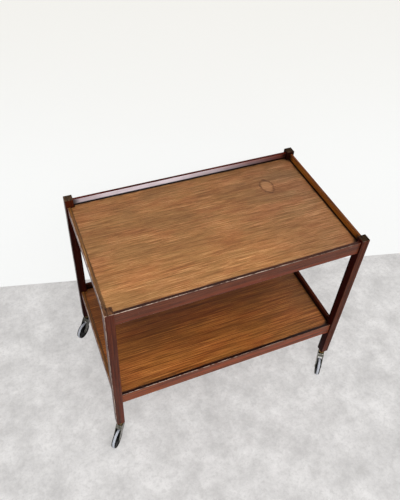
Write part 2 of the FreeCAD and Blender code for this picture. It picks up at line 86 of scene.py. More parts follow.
class Finish:
    """A node tree and short calls that add to it. Each call gives back the socket that holds its result."""

    def __init__(self, tree):
        self.tree = tree

    def node(self, kind, **settings):
        made = self.tree.nodes.new(kind)
        for name, setting in settings.items():
            setattr(made, name, setting)
        return made

    def feed(self, socket, source):
        """Links a socket to another, or writes a plain value in it."""
        if isinstance(source, bpy.types.NodeSocket):
            self.tree.links.new(source, socket)
        else:
            socket.default_value = source

    def math(self, operation, *sources, clamp=False):
        made = self.node("ShaderNodeMath", operation=operation, use_clamp=clamp)
        for socket, source in zip(made.inputs, sources):
            self.feed(socket, source)
        return made.outputs[0]

    def vector(self, operation, *sources):
        made = self.node("ShaderNodeVectorMath", operation=operation)
        for socket, source in zip(made.inputs, sources):
            self.feed(socket, source)
        return made.outputs["Value" if operation in ("LENGTH", "DISTANCE", "DOT_PRODUCT") else "Vector"]

    def split(self, source):
        made = self.node("ShaderNodeSeparateXYZ")
        self.feed(made.inputs[0], source)
        return tuple(made.outputs)

    def join(self, *sources):
        made = self.node("ShaderNodeCombineXYZ")
        for socket, source in zip(made.inputs, sources):
            self.feed(socket, source)
        return made.outputs[0]

    def spread(self, source, low, high, out_low=0.0, out_high=1.0):
        """Follows a soft step from out_low to out_high as the source goes from low to high."""
        made = self.node("ShaderNodeMapRange", interpolation_type="SMOOTHSTEP")
        for socket, given in zip(made.inputs, (source, low, high, out_low, out_high)):
            self.feed(socket, given)
        return made.outputs[0]

    def noise(self, place, scale, detail=2.0, roughness=0.5):
        """A noise. Its scale counts its lumps in a metre, and detail and roughness set the finer lumps on them."""
        made = self.node("ShaderNodeTexNoise")
        for name, given in {"Vector": place, "Scale": scale, "Detail": detail, "Roughness": roughness}.items():
            self.feed(made.inputs[name], given)
        return made.outputs[0]

    def stretched_noise(self, place, scales, detail=2.0, roughness=0.5):
        """A noise with its own scale along each axis."""
        return self.noise(self.vector("MULTIPLY", place, scales), 1.0, detail, roughness)

    def mix(self, share, first, second, blend="MIX"):
        """Mixes two colours. The node has sockets for each kind of data: 6 and 7 take colours, and 2 gives one."""
        made = self.node("ShaderNodeMix", data_type="RGBA", blend_type=blend)
        for index, given in {0: share, 6: first, 7: second}.items():
            self.feed(made.inputs[index], given)
        return made.outputs[2]

    def tinted(self, colour, tone):
        """A colour multiplied by a tone."""
        return self.mix(1.0, colour, tone, "MULTIPLY")

    def overlaid(self, mask, share, colour, over):
        """A colour with another laid over it where a mask says, by at most a share."""
        return self.mix(self.math("MULTIPLY", mask, share), colour, over)

    def ramp(self, source, *stops):
        """Colours along a scale from 0 to 1, as pairs of place and colour."""
        made = self.node("ShaderNodeValToRGB")
        elements = made.color_ramp.elements
        while len(elements) < len(stops):
            elements.new(0.5)
        for element, (place, colour) in zip(elements, stops):
            element.position = place
            element.color = colour
        self.feed(made.inputs[0], source)
        return made.outputs[0]

    def position(self):
        """The place of a point on the piece, in metres."""
        return self.node("ShaderNodeTexCoord").outputs["Object"]

    def bump(self, height, distance, strength=1.0):
        """A normal that shows a height as relief. distance is how deep a height of one is."""
        made = self.node("ShaderNodeBump")
        for name, given in {"Height": height, "Distance": distance, "Strength": strength}.items():
            self.feed(made.inputs[name], given)
        return made.outputs[0]

    def effect(self, group, **sources):
        """Places a shared effect. Its sockets are named as in the group, with _ for a space."""
        made = self.node("ShaderNodeGroup", node_tree=group)
        for name, source in sources.items():
            self.feed(made.inputs[name.replace("_", " ")], source)
        return made.outputs


def new_effect(name, inputs, outputs):
    """An empty shared effect: its finish, its input sockets by name and the node that takes its results."""
    tree = bpy.data.node_groups.new(name, "ShaderNodeTree")
    for label, kind in inputs.items():
        tree.interface.new_socket(label, in_out="INPUT", socket_type=f"NodeSocket{kind}")
    for label in outputs:
        tree.interface.new_socket(label, in_out="OUTPUT", socket_type="NodeSocketFloat")
    finish = Finish(tree)
    return finish, finish.node("NodeGroupInput").outputs, finish.node("NodeGroupOutput").inputs


def seeded_place(finish, given, direction):
    """An effect's place, moved along a direction by its seed, so that each piece shows its own part of a noise."""
    shift = finish.vector("SCALE", direction)
    finish.feed(shift.node.inputs["Scale"], given["Seed"])
    return finish.vector("ADD", given["Position"], shift)


def wood_figure():
    """Grain that runs along X: broad bands, streaks, short dark ticks, fine fibres and pores. Each is a noise drawn
    out along the grain and squeezed across it, and a slow noise lets the lines wander."""
    finish, given, result = new_effect(
        "wood_figure",
        {"Position": "Vector", "Seed": "Float", "Band Width": "Float", "Streak Width": "Float",
         "Streak Length": "Float", "Wander": "Float"},
        ("Bands", "Streaks", "Ticks", "Fibres", "Pores"),
    )
    place = seeded_place(finish, given, (3.1, 7.7, 5.3))
    drift = finish.math("SUBTRACT", finish.stretched_noise(place, (2.2, 9, 9)), 0.5)
    side = finish.math("MULTIPLY", drift, given["Wander"])
    place = finish.vector("ADD", place, finish.join(0.0, side, side))

    def drawn_out(length, width, detail, roughness):
        along = finish.math("DIVIDE", 1.0, length)
        across = finish.math("DIVIDE", 1.0, width)
        return finish.stretched_noise(place, finish.join(along, across, across), detail, roughness)

    band_length = finish.math("MULTIPLY", given["Streak Length"], 5.0)
    finish.feed(result["Bands"], drawn_out(band_length, given["Band Width"], 2.0, 0.5))
    finish.feed(result["Streaks"], drawn_out(given["Streak Length"], given["Streak Width"], 5.0, 0.72))
    tick_length = finish.math("MULTIPLY", given["Streak Length"], 0.35)
    tick_width = finish.math("MULTIPLY", given["Streak Width"], 0.45)
    finish.feed(result["Ticks"], finish.spread(drawn_out(tick_length, tick_width, 1.0, 0.5), 0.55, 0.72))
    finish.feed(result["Fibres"], drawn_out(50 * MM, 0.9 * MM, 2.0, 0.6))
    finish.feed(result["Pores"], finish.spread(drawn_out(11 * MM, 0.55 * MM, 1.0, 0.5), 0.60, 0.72))
    return finish.tree


def arris_wear_and_highlight():
    """Pale arrises of a box: worn edges, with a painted highlight on them. Of the three distances to the nearest
    faces, the middle one is small only beside an arris. A noise breaks the paleness up."""
    finish, given, result = new_effect(
        "arris_wear_and_highlight", {"Position": "Vector", "Low": "Vector", "High": "Vector", "Width": "Float"}, ("Wear and Highlight",))
    near_low = finish.vector("SUBTRACT", given["Position"], given["Low"])
    near_high = finish.vector("SUBTRACT", given["High"], given["Position"])
    x, y, z = finish.split(finish.vector("MINIMUM", near_low, near_high))
    lesser, greater = finish.math("MINIMUM", x, y), finish.math("MAXIMUM", x, y)
    middle = finish.math("MAXIMUM", lesser, finish.math("MINIMUM", greater, z))
    uneven = finish.noise(given["Position"], 38.0, 4.0, 0.65)
    reach = finish.math("MULTIPLY", given["Width"], finish.spread(uneven, 0.3, 0.7, 0.35, 1.25))
    edge = finish.math("SUBTRACT", 1.0, finish.math("DIVIDE", middle, reach), clamp=True)
    finish.feed(result["Wear and Highlight"], finish.spread(edge, 0.05, 0.6))
    return finish.tree


def surface_marks():
    """What use leaves on a lacquered surface: hair scratches along the contour lines of a noise, kept only in
    patches, smudges that change the gloss, and small dents."""
    finish, given, result = new_effect(
        "surface_marks", {"Position": "Vector", "Seed": "Float"}, ("Scratches", "Smudges", "Dents"))
    place = seeded_place(finish, given, (1.7, 4.3, 2.9))
    contour = finish.math("ABSOLUTE", finish.math("SUBTRACT", finish.noise(place, 19.0, 1.0, 0.4), 0.5))
    line = finish.spread(contour, 0.0015, 0.006, 1.0, 0.0)
    patch = finish.spread(finish.noise(place, 27.0, 2.0), 0.55, 0.68)
    finish.feed(result["Scratches"], finish.math("MULTIPLY", line, patch))
    finish.feed(result["Smudges"], finish.noise(place, 16.0, 4.0, 0.6))
    finish.feed(result["Dents"], finish.spread(finish.noise(place, 75.0, 1.0), 0.68, 0.8))
    return finish.tree


def ring_stain():
    """A wet glass's ring: dark where the distance from its middle, measured in shares of its reach along each axis,
    is near one. A slow noise bends the ring and a finer one breaks it up."""
    finish, given, result = new_effect(
        "ring_stain", {"Position": "Vector", "Centre": "Vector", "Reach": "Vector"}, ("Ring", "Inside"))
    place = given["Position"]
    share = finish.vector("DIVIDE", finish.vector("SUBTRACT", place, given["Centre"]), given["Reach"])
    bend = finish.math("SUBTRACT", finish.noise(place, 38.0, 3.0, 0.6), 0.5)
    distance = finish.math("MULTIPLY_ADD", bend, 0.7, finish.vector("LENGTH", share))
    off_line = finish.math("ABSOLUTE", finish.math("SUBTRACT", distance, 1.0))
    broken = finish.spread(finish.noise(place, 75.0, 4.0, 0.65), 0.36, 0.58, 0.2, 1.0)
    finish.feed(result["Ring"], finish.math("MULTIPLY", finish.spread(off_line, 0.03, 0.2, 1.0, 0.0), broken))
    finish.feed(result["Inside"], finish.spread(distance, 0.6, 0.95, 1.0, 0.0))
    return finish.tree


def metal_age_and_reflection():
    """Soft clouds of tarnish, which on the caster plate also stand for painted dark reflections, finer scuffs, and
    dirt that gathers towards the floor.
    """
    finish, given, result = new_effect(
        "metal_age_and_reflection", {"Position": "Vector", "Seed": "Float"}, ("Tarnish and Reflection", "Scuffs", "Grime"))
    place = seeded_place(finish, given, (2.3, 1.9, 6.1))
    finish.feed(result["Tarnish and Reflection"], finish.spread(finish.noise(place, 70.0, 6.0, 0.7), 0.32, 0.74))
    finish.feed(result["Scuffs"], finish.spread(finish.noise(place, 900.0, 3.0, 0.7), 0.52, 0.72))
    height = finish.split(given["Position"])[2]
    finish.feed(result["Grime"], finish.math("MULTIPLY", finish.spread(height, 0.0, 30 * MM, 1.0, 0.0),
                                             finish.noise(place, 260.0, 3.0)))
    return finish.tree


WOOD_FIGURE = wood_figure()
ARRIS_WEAR_AND_HIGHLIGHT = arris_wear_and_highlight()
SURFACE_MARKS = surface_marks()
RING_STAIN = ring_stain()
METAL_AGE_AND_REFLECTION = metal_age_and_reflection()


def new_material(name):
    """A material, its finish and its one shader."""
    material = bpy.data.materials.new(name)
    material.use_nodes = True
    return material, Finish(material.node_tree), material.node_tree.nodes["Principled BSDF"]


def dress(node, material):
    """Gives a piece of the frame its finish."""
    slots = frame["nodes"][node].data.materials
    slots.clear()
    slots.append(material)


def along_grain(finish, place, grain):
    """Turns a place so that the grain's axis comes first."""
    x, y, z = finish.split(place)
    return finish.join(*{"X": (x, y, z), "Y": (y, x, z), "Z": (z, x, y)}[grain])


# The range of the smudge noise over which a wood goes from its least roughness to its greatest.
SMUDGES = (0.3, 0.7)
RELIEF_STRENGTH = 0.6

# Painted shade in the corner between a tray and its rails, and where two rails meet: a dark crease and darker
# corners.
CREASE_SHADE = paint(16, 7, 3)
CREASE_WIDTH = 4.0 * MM
CREASE_CORE = 0.4 * CREASE_WIDTH
CREASE_SHARE = 0.97
CORNER_REACH = 26 * MM
CORNER_SHARE = 0.85
PLAIN = (1.0, 1.0, 1.0)

# Frame wood: dark red-brown under old lacquer, pale along the outer arrises from worn edges and a painted
# highlight.
FRAME_DARK = paint(56, 22, 12)
FRAME_MID = paint(92, 42, 23)
FRAME_LIGHT = paint(118, 62, 38)
FRAME_RED = paint(120, 46, 23)
FRAME_PLUM = paint(62, 30, 24)
FRAME_PORE = paint(34, 13, 7)
FRAME_WEAR_AND_HIGHLIGHT = paint(216, 192, 174)
END_GRAIN_DARK = paint(18, 11, 6)
END_GRAIN_LIGHT = paint(62, 42, 24)
FRAME_GRAIN = dict(Band_Width=11 * MM, Streak_Width=3.2 * MM, Streak_Length=150 * MM, Wander=5 * MM)
FRAME_SCRATCHES = 0.11
FRAME_ROUGHNESS = (0.30, 0.46)
FRAME_RELIEF = 0.06 * MM
FRAME_FIBRES = 0.5
# What inner faces and cut ends add to the roughness, and what a rubbed arris takes off.
MATT_ROUGHNESS = 0.25
ARRIS_POLISH = 0.06
# A painted sheen on the back rail's inner face, pale like a reflection: its middle along X, its reach each way, and
# how far below the face it fades.
PAINTED_SHEEN = paint(252, 244, 254)
SHEEN_MIDDLE = -0.13
SHEEN_REACH = 0.50
SHEEN_DEPTH = (0.2 * MM, 0.8 * MM)
ARRIS_WIDTH = 1.8 * MM
# Where along X the pale arris of a front rail, worn edge and painted highlight, fades towards the closed end.
WEAR_AND_HIGHLIGHT_FADE = (-0.05, 0.28)
# How far below a face its tone reaches, and how far below a top face that tone still counts in full.
FACE_DEPTH = 0.9 * MM
FACE_SKIN = 0.2 * FACE_DEPTH
# How far out the box of the pale arrises is drawn where no arris should be pale.
FAR = 1.0

# How each piece of the frame has aged, and the light and shade painted on its faces. frame_wood says what each word
# means.
# Most of these tones are painted light and shade: inner faces darkened where shade falls, nearly black on the inner
# faces of the right posts, lighter inner faces on the top right end rail and on the back left post above the top
# tray as painted light, darker back posts as painted shade, and the back rail's lighter inner face as a painted
# sheen. The pale arrises are worn edges with a painted highlight.
FRAME_AGE_AND_PAINTED_LIGHT = {
    "front_left_post": dict(tone=(0.90, 0.76, 0.64), inner=(0.5, 0.4, 0.4), end=(3.8, 3.2, 3.2),
                            edge_wear_and_highlight=0.75, shine=0.12),
    "front_right_post": dict(tone=(0.85, 0.80, 0.70), inner=(0.16, 0.05, 0.08), edge_wear_and_highlight=0.15),
    "back_left_post": dict(tone=(0.5, 0.35, 0.4), inner=(0.3, 0.15, 0.15), above=(0.55, 0.42, 0.32),
                           end=(2.2, 2.4, 3.0), edge_wear_and_highlight=0.2),
    "back_right_post": dict(tone=(0.6, 0.6, 0.6), inner=(0.1, 0.07, 0.07), edge_wear_and_highlight=0.2),
    "top_front_rail": dict(tone=(1.22, 1.35, 1.33), inner=(0.5, 0.45, 0.4), top=(0.35, 0.33, 0.25),
                           edge_wear_and_highlight=0.85, closed_wear_and_highlight=0.35, shine=0.2),
    # Its inner face is lightened and carries the painted sheen.
    "top_back_rail": dict(tone=(1.0, 0.9, 0.9), inner=(1.5, 1.4, 1.8), top=(0.6, 0.3, 0.3), edge_wear_and_highlight=0.15,
                          sheened=True),
    "top_left_end_rail": dict(inner=(0.6, 0.55, 0.5), top=(1.7, 3.2, 2.2), edge_wear_and_highlight=0.85, shine=0.2),
    "top_right_end_rail": dict(inner=(2.3, 3.1, 1.0), top=(1.4, 1.9, 1.1), edge_wear_and_highlight=0.2),
    "lower_front_rail": dict(tone=(2.2, 2.2, 1.5), inner=(0.2, 0.15, 0.15), top=(0.14, 0.1, 0.1),
                             edge_wear_and_highlight=0.8, closed_wear_and_highlight=0.3, shine=0.2),
    "lower_back_rail": dict(inner=(0.3, 0.25, 0.25), top=(0.4, 0.3, 0.3), edge_wear_and_highlight=0.2),
    "lower_left_end_rail": dict(inner=(0.6, 0.55, 0.5), top=(1.9, 3.2, 2.0), edge_wear_and_highlight=0.75, shine=0.2),
    "lower_right_end_rail": dict(inner=(0.45, 0.28, 0.22), top=(0.6, 0.5, 0.5), edge_wear_and_highlight=0.2),
}


def lacquered_colour(finish, figure):
    """The frame wood's own colour, before face tones and marks: streaks, red and plum bands, and dark pores."""
    colour = finish.ramp(figure["Streaks"], (0.36, FRAME_DARK), (0.5, FRAME_MID), (0.66, FRAME_LIGHT))
    colour = finish.mix(finish.spread(figure["Bands"], 0.52, 0.66, 0.0, 0.6), colour, FRAME_RED)
    colour = finish.mix(finish.spread(figure["Bands"], 0.34, 0.47, 0.6, 0.0), colour, FRAME_PLUM)
    return finish.overlaid(figure["Pores"], 0.55, colour, FRAME_PORE)


def inner_faces(finish, place, grain, low, high):
    """A mask of the faces that look towards the trolley's middle, and the box that the pale arrises read. That box
    is drawn far out along a rail and on the inner sides, so that only the outer arrises turn pale."""
    mask, edge_box_low, edge_box_high = 0.0, low.copy(), high.copy()
    for axis, along in enumerate(finish.split(place)[:2]):
        if "XY"[axis] == grain:
            edge_box_low[axis] -= FAR
            edge_box_high[axis] += FAR
            continue
        if low[axis] + high[axis] < 0:
            face = high[axis]
            edge_box_high[axis] += FAR
        else:
            face = low[axis]
            edge_box_low[axis] -= FAR
        depth = finish.math("ABSOLUTE", finish.math("SUBTRACT", along, face))
        mask = finish.math("MAXIMUM", mask, finish.spread(depth, 0.0, FACE_DEPTH, 1.0, 0.0))
    return mask, edge_box_low, edge_box_high


def painted_rail_sheen(finish, place, low):
    """A painted sheen on a rail's inner face, strongest at its middle and gone at its reach."""
    x, y, _ = finish.split(place)
    from_middle = finish.math("ABSOLUTE", finish.math("SUBTRACT", x, SHEEN_MIDDLE))
    fade = finish.spread(from_middle, 0.0, SHEEN_REACH, 1.0, 0.0)
    face = finish.spread(finish.math("SUBTRACT", y, low.y), *SHEEN_DEPTH, 1.0, 0.0)
    cloud = finish.spread(finish.stretched_noise(place, (14, 60, 60), 3.0), 0.2, 0.7, 0.7, 1.0)
    return finish.math("MULTIPLY", finish.math("MULTIPLY", fade, face), cloud)


def rail_shade(finish, place, grain, high, tray_level):
    """Painted shade on a rail's inner face: beside the tray, and towards both ends of the rail."""
    x, y, z = finish.split(place)
    beside_tray = finish.spread(z, tray_level + CREASE_CORE, tray_level + CREASE_WIDTH, CREASE_SHARE, 0.0)
    along, end = (x, high.x) if grain == "X" else (y, high.y)
    from_end = finish.math("SUBTRACT", end, finish.math("ABSOLUTE", along))
    at_ends = finish.spread(from_end, 0.1 * CORNER_REACH, CORNER_REACH, CORNER_SHARE, 0.0)
    return finish.math("MAXIMUM", beside_tray, at_ends)


def wood_relief(finish, figure, marks, fibres, depth):
    """Fine relief of a wooden surface: fibres stand up by their share, and pores and dents sink."""
    height = finish.math("SUBTRACT", finish.math("MULTIPLY", figure["Fibres"], fibres), figure["Pores"])
    return finish.bump(finish.math("SUBTRACT", height, marks["Dents"]), depth, RELIEF_STRENGTH)


def frame_wood(node, grain, seed, tone=PLAIN, inner=PLAIN, above=None, top=PLAIN, end=PLAIN, edge_wear_and_highlight=0.2,
               closed_wear_and_highlight=1.0, shine=0.06, sheened=False):
    """Lacquered wood of one post or rail. Each face's tone comes from how near a point lies to that face: tone is
    for the outer faces, inner for the inner ones, above for a post's inner faces over the top tray, top for the top
    of a rail and end for a post's cut end. Most of these face tones are painted light and shade. The next two
    numbers set how pale the outer arrises are, from worn edges and a painted highlight, and the share of that at
    the closed end; shine is the shader's specular level, and a rail marked for it has the painted sheen."""
    low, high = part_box(node)
    tray_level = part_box(f"{'lower' if node.startswith('lower') else 'top'}_tray_panel")[1].z
    material, finish, shader = new_material(f"{node}_lacquer")
    place = finish.position()
    x, _, z = finish.split(place)
    figure = finish.effect(WOOD_FIGURE, Position=along_grain(finish, place, grain), Seed=seed, **FRAME_GRAIN)
    marks = finish.effect(SURFACE_MARKS, Position=place, Seed=seed)
    on_inner, edge_box_low, edge_box_high = inner_faces(finish, place, grain, low, high)
    on_top = finish.spread(z, high.z - FACE_DEPTH, high.z - FACE_SKIN)

    # Inner faces take painted shade and light; above lightens a post's inner face over the top tray as painted
    # light.
    inner_tone = as_colour(inner)
    if above:
        over_tray = finish.spread(z, tray_level, tray_level + CREASE_WIDTH)
        inner_tone = finish.mix(over_tray, inner_tone, as_colour(above))
    face_tone = finish.mix(on_inner, as_colour(tone), inner_tone)
    colour = lacquered_colour(finish, figure)
    if grain == "Z":
        matt = finish.math("MAXIMUM", on_inner, on_top)
        rings = finish.stretched_noise(place, (260, 60, 0), 4.0)
        cut_end = finish.ramp(rings, (0.3, END_GRAIN_DARK), (0.75, END_GRAIN_LIGHT))
        colour = finish.mix(on_top, finish.tinted(colour, face_tone), finish.tinted(cut_end, as_colour(end)))
    else:
        matt = on_inner
        colour = finish.tinted(colour, finish.mix(on_top, face_tone, as_colour(top)))

    # Pale outer arrises: worn edges and a painted highlight, fading towards the closed end where a piece asks for
    # it.
    edge = finish.effect(ARRIS_WEAR_AND_HIGHLIGHT, Position=place, Low=edge_box_low, High=edge_box_high, Width=ARRIS_WIDTH)["Wear and Highlight"]
    edge = finish.math("MULTIPLY", edge, finish.spread(x, *WEAR_AND_HIGHLIGHT_FADE, edge_wear_and_highlight, edge_wear_and_highlight * closed_wear_and_highlight))
    colour = finish.mix(edge, colour, FRAME_WEAR_AND_HIGHLIGHT)
    # The painted sheen on the back rail's inner face.
    if sheened:
        colour = finish.mix(painted_rail_sheen(finish, place, low), colour, PAINTED_SHEEN)
    if grain != "Z":
        # Painted shade on the rail's inner face, beside the tray and towards its ends.
        colour = finish.overlaid(rail_shade(finish, place, grain, high, tray_level), on_inner, colour, CREASE_SHADE)
    colour = finish.overlaid(marks["Scratches"], FRAME_SCRATCHES, colour, FRAME_WEAR_AND_HIGHLIGHT)

    gloss = finish.spread(marks["Smudges"], *SMUDGES, *FRAME_ROUGHNESS)
    gloss = finish.math("MULTIPLY_ADD", matt, MATT_ROUGHNESS, gloss)
    finish.feed(shader.inputs["Base Color"], colour)
    finish.feed(shader.inputs["Roughness"], finish.math("MULTIPLY_ADD", edge, -ARRIS_POLISH, gloss))
    finish.feed(shader.inputs["Normal"], wood_relief(finish, figure, marks, FRAME_FIBRES, FRAME_RELIEF))
    shader.inputs["Specular IOR Level"].default_value = shine
    dress(node, material)


# Tray veneer: fine straight grain along the trolley, in clouds of olive and red-brown.
VENEER_DARK = paint(122, 74, 34)
VENEER_MID = paint(157, 102, 52)
VENEER_LIGHT = paint(186, 134, 82)
VENEER_OLIVE = paint(138, 99, 52)
VENEER_RED = paint(156, 92, 50)
VENEER_TICK = paint(104, 58, 24)
VENEER_PORE = paint(92, 52, 22)
VENEER_EDGE_DARK = paint(60, 38, 12)
VENEER_BANDS = dict(Band_Width=30 * MM, Wander=7 * MM)
VENEER_SCRATCHES = 0.15
VENEER_ROUGHNESS = (0.40, 0.54)
VENEER_SHINE = 0.25
VENEER_RELIEF = 0.05 * MM
VENEER_FIBRES = 0.6
# How far in from a tray's edges it is darker, and by what share.
EDGE_DARK_REACH = (3 * MM, 18 * MM)
EDGE_DARK_SHARE = 0.65
# Painted shade and sheen: a tray turns darker and greyer towards its closed end. Over the reach below, from the
# open end, the painted shade from front to back is eased, as painted light coming in there.
CLOSED_END_SHADE_AND_SHEEN = (0.87, 0.90, 1.06)
OPEN_END_REACH = 180 * MM
# How many times narrower the darkening towards the edges is at the open end.
OPEN_END_NARROWING = 4.0
# The ring on the top tray: its middle along X and Y, and its reach along X, Y and into the wood.
STAIN = paint(76, 40, 18)
STAIN_SHARE = 0.8
BLEACHED = paint(206, 156, 108)
BLEACHED_SHARE = 0.22
RING_MIDDLE = (229 * MM, 101 * MM)
RING_REACH = (20 * MM, 31 * MM, 2 * MM)

# How each tray's veneer looks, with the light and shade painted on it. veneer says what each word means.
TRAY_VENEER_AND_PAINTED_LIGHT = {
    "top_tray_panel": dict(seed=2.0, streak=(2.2 * MM, 95 * MM), contrast=0.11, depth=0.15,
                           front=(1.25, 1.34, 1.53), back=(0.95, 0.99, 1.13), fade=0.75, stained=True),
    "lower_tray_panel": dict(seed=6.0, streak=(2.5 * MM, 210 * MM), contrast=0.08, depth=0.32,
                             front=(1.12, 0.91, 0.62), back=(0.40, 0.22, 0.05), fade=0.75,
                             open_end=0.6, closed_end=0.6),
}


def veneer_colour(finish, place, figure, contrast, depth):
    """Streaks in clouds of olive and red-brown, with bands, fibres, ticks and pores. veneer says what contrast and
    depth are. A slow noise makes it blotchy."""
    colour = finish.ramp(figure["Streaks"], (0.5 - contrast, VENEER_DARK), (0.5, VENEER_MID),
                         (0.5 + contrast, VENEER_LIGHT))
    cloud = finish.stretched_noise(place, (8, 20, 20), 4.0, 0.6)
    colour = finish.mix(finish.spread(cloud, 0.38, 0.56, 0.55, 0.0), colour, VENEER_OLIVE)
    colour = finish.mix(finish.spread(cloud, 0.50, 0.66, 0.0, 0.45), colour, VENEER_RED)
    colour = finish.mix(finish.spread(figure["Bands"], 0.40, 0.50, 0.35, 0.0), colour, VENEER_DARK)
    colour = finish.mix(finish.spread(figure["Fibres"], 0.3, 0.7, 0.25, 0.0), colour, VENEER_DARK)
    colour = finish.overlaid(figure["Ticks"], 0.75, colour, VENEER_TICK)
    colour = finish.overlaid(figure["Pores"], 0.5, colour, VENEER_PORE)
    blotch = finish.spread(finish.stretched_noise(place, (5, 16, 16), 3.0), 0.34, 0.66, 0.93, 1.07)
    gain = finish.math("MULTIPLY", finish.spread(figure["Streaks"], 0.36, 0.64, 1 - depth, 1 + depth), blotch)
    return finish.vector("MULTIPLY", colour, finish.join(gain, gain, gain))


def tray_edge_darkening_and_shade(finish, place, colour, low, high):
    """A tray darker towards its edges, and painted shade: a dark crease beside the rails and in their corners."""
    to_open, to_front, _ = finish.split(finish.vector("SUBTRACT", place, low))
    to_closed, to_back, _ = finish.split(finish.vector("SUBTRACT", high, place))
    to_side = finish.math("MINIMUM", to_front, to_back)
    to_rail = finish.math("MINIMUM", to_side, to_closed)
    to_edge = finish.math("MINIMUM", to_rail, finish.math("MULTIPLY", to_open, OPEN_END_NARROWING))
    # Darker towards the tray's edges, less far in at the open end.
    reach = finish.spread(finish.noise(place, 30.0, 4.0, 0.6), 0.3, 0.7, *EDGE_DARK_REACH)
    darkening = finish.spread(finish.math("DIVIDE", to_edge, reach), 0.0, 1.0, EDGE_DARK_SHARE, 0.0)
    colour = finish.mix(darkening, colour, VENEER_EDGE_DARK)
    # Painted shade: a dark crease beside the rails and darker corners.
    to_corner = finish.math("ADD", to_side, to_closed)
    beside_rail = finish.spread(to_rail, CREASE_CORE, CREASE_WIDTH, CREASE_SHARE, 0.0)
    in_corner = finish.spread(to_corner, 0.7 * CORNER_REACH, 1.3 * CORNER_REACH, CORNER_SHARE, 0.0)
    return finish.mix(finish.math("MAXIMUM", beside_rail, in_corner), colour, CREASE_SHADE)


def veneer(node, seed, streak, contrast, depth, front, back, fade, open_end=1.0, closed_end=1.0, stained=False):
    """Veneer of one tray. streak is the width and length of its streaks, contrast the range over which they change
    colour, and depth how far they darken and lighten it. Its tone runs from front to back over a share of its
    width,
    fade: painted light at the front and painted shade at the back, on the lower tray where the top one shades it.
    open_end and closed_end are how much of that is left at its two ends; less at the open end is painted light
    coming in there. A stained tray has the ring."""
    low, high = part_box(node)
    material, finish, shader = new_material(f"{node}_veneer")
    place = finish.position()
    x, y, _ = finish.split(place)
    width, length = streak
    figure = finish.effect(WOOD_FIGURE, Position=place, Seed=seed, Streak_Width=width, Streak_Length=length,
                           **VENEER_BANDS)
    marks = finish.effect(SURFACE_MARKS, Position=place, Seed=seed)
    colour = veneer_colour(finish, place, figure, contrast, depth)

    # Painted light at the front and painted shade at the back, eased at the two ends.
    far = finish.spread(y, low.y, low.y + fade * (high.y - low.y))
    far = finish.math("MULTIPLY", far, finish.spread(x, low.x, low.x + OPEN_END_REACH, open_end, 1.0))
    far = finish.math("MULTIPLY", far, finish.spread(x, 0.0, high.x, 1.0, closed_end))
    colour = finish.tinted(colour, finish.mix(far, as_colour(front), as_colour(back)))
    # Painted shade and sheen towards the closed end.
    end_tone = finish.mix(finish.spread(x, 0.0, high.x), as_colour(PLAIN), as_colour(CLOSED_END_SHADE_AND_SHEEN))
    colour = tray_edge_darkening_and_shade(finish, place, finish.tinted(colour, end_tone), low, high)
    if stained:
        stain = finish.effect(RING_STAIN, Position=place, Centre=(*RING_MIDDLE, high.z), Reach=RING_REACH)
        colour = finish.overlaid(stain["Inside"], BLEACHED_SHARE, colour, BLEACHED)
        colour = finish.overlaid(stain["Ring"], STAIN_SHARE, colour, STAIN)
    colour = finish.overlaid(marks["Scratches"], VENEER_SCRATCHES, colour, VENEER_LIGHT)

    finish.feed(shader.inputs["Base Color"], colour)
    finish.feed(shader.inputs["Roughness"], finish.spread(marks["Smudges"], *SMUDGES, *VENEER_ROUGHNESS))
    finish.feed(shader.inputs["Normal"], wood_relief(finish, figure, marks, VENEER_FIBRES, VENEER_RELIEF))
    shader.inputs["Specular IOR Level"].default_value = VENEER_SHINE
    dress(node, material)


# Bare wood of the cleats and dowels, metal of the screws and casters, plastic and rubber of the wheels.
RAW_GRAIN = dict(Seed=4.0, Band_Width=9 * MM, Streak_Width=2 * MM, Streak_Length=60 * MM, Wander=4 * MM)
CLEAT_WOOD = dict(dark=paint(150, 106, 66), light=paint(184, 142, 96), pore=paint(110, 72, 42))
DOWEL_WOOD = dict(dark=paint(178, 140, 96), light=paint(208, 174, 128), pore=paint(140, 104, 66))
SCREW_STEEL = dict(seed=3.0, clean=paint(176, 174, 168), dull_and_dark_reflection=paint(118, 104, 86), darkening=paint(70, 60, 50),
                   roughness=0.38)
# The darker back copy of the brass is painted shade.
SOCKET_BRASS = {
    "front": dict(seed=1.0, clean=paint(170, 136, 70), dull_and_dark_reflection=paint(98, 74, 38), darkening=paint(60, 48, 34),
                  roughness=0.26),
    "back": dict(seed=4.0, clean=paint(124, 96, 50), dull_and_dark_reflection=paint(60, 44, 24), darkening=paint(44, 35, 25),
                 roughness=0.3),
}
# On the plate, the dark patches of tarnish are also painted dark reflections; the darker back copy is painted
# shade.
CASTER_PLATE = {
    "front": dict(seed=2.0, clean=paint(132, 130, 122), dull_and_dark_reflection=paint(36, 34, 28), darkening=paint(30, 28, 24),
                  roughness=0.14),
    "back": dict(seed=6.0, clean=paint(92, 90, 84), dull_and_dark_reflection=paint(20, 19, 16), darkening=paint(24, 22, 19),
                 roughness=0.2),
}
WHEEL_PLASTIC = dict(seed=5.0, clean=paint(5, 5, 6), worn=paint(26, 26, 27), dirt=paint(14, 13, 12),
                     roughness=0.34, shine=0.05)
TYRE_RUBBER = dict(seed=7.0, clean=paint(208, 213, 224), worn=paint(228, 230, 234), dirt=paint(164, 164, 166),
                   roughness=0.6, shine=0.12)


